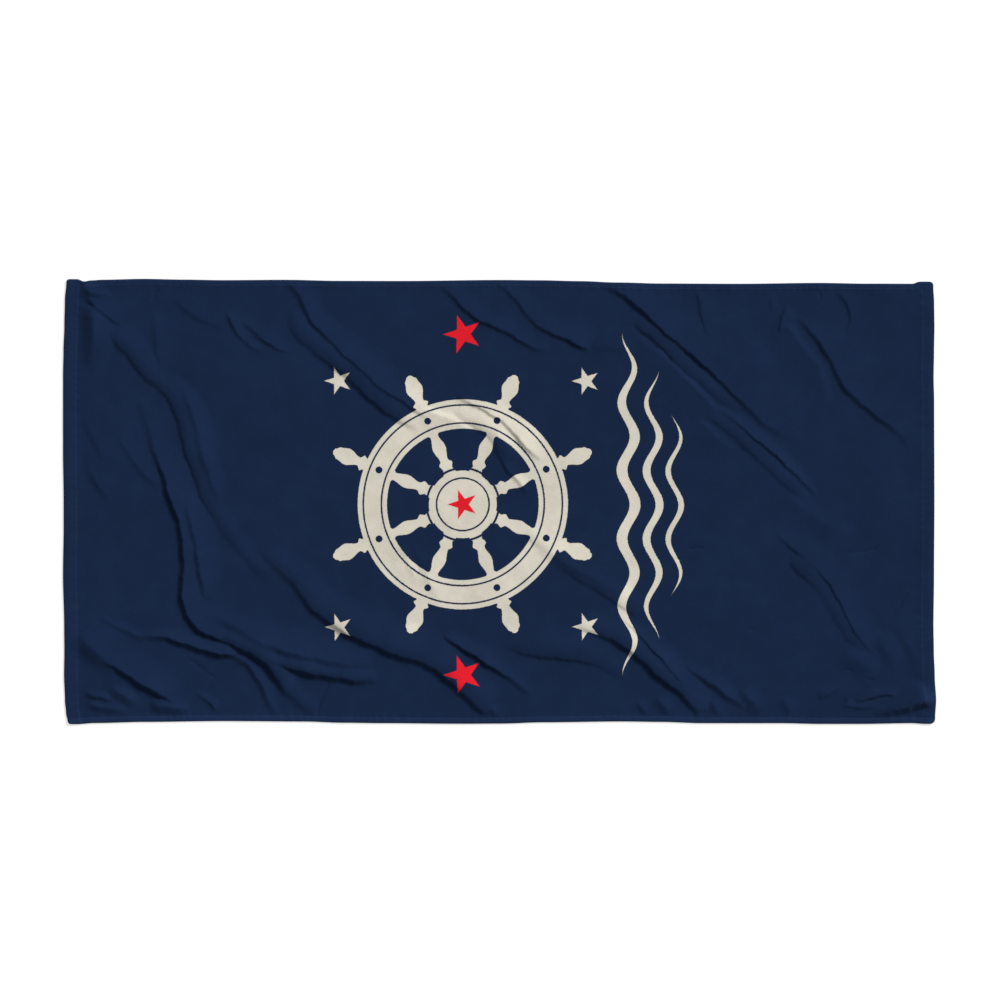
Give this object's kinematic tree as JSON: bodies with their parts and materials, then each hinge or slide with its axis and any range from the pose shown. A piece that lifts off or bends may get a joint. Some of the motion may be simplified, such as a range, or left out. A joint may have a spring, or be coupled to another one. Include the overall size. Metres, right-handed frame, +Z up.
{
  "type": "beach towel",
  "caption": "Rectangular printed velour beach towel with sewn hems, lying face up and softly wrinkled on a flat surface.",
  "frame": {"origin": "middle of the towel's outer box, on the surface that it lies on", "axes": "+X along the towel's length, +Y across it, +Z up from the surface, out of the printed face"},
  "size_m": [1.4918, 0.7609, 0.0163],
  "materials": {
    "towel_cloth": "navy printed cotton velour, matt with a soft sheen"
  },
  "bodies": {
    "root": {"towel": "towel_cloth"}
  },
  "joints": []
}
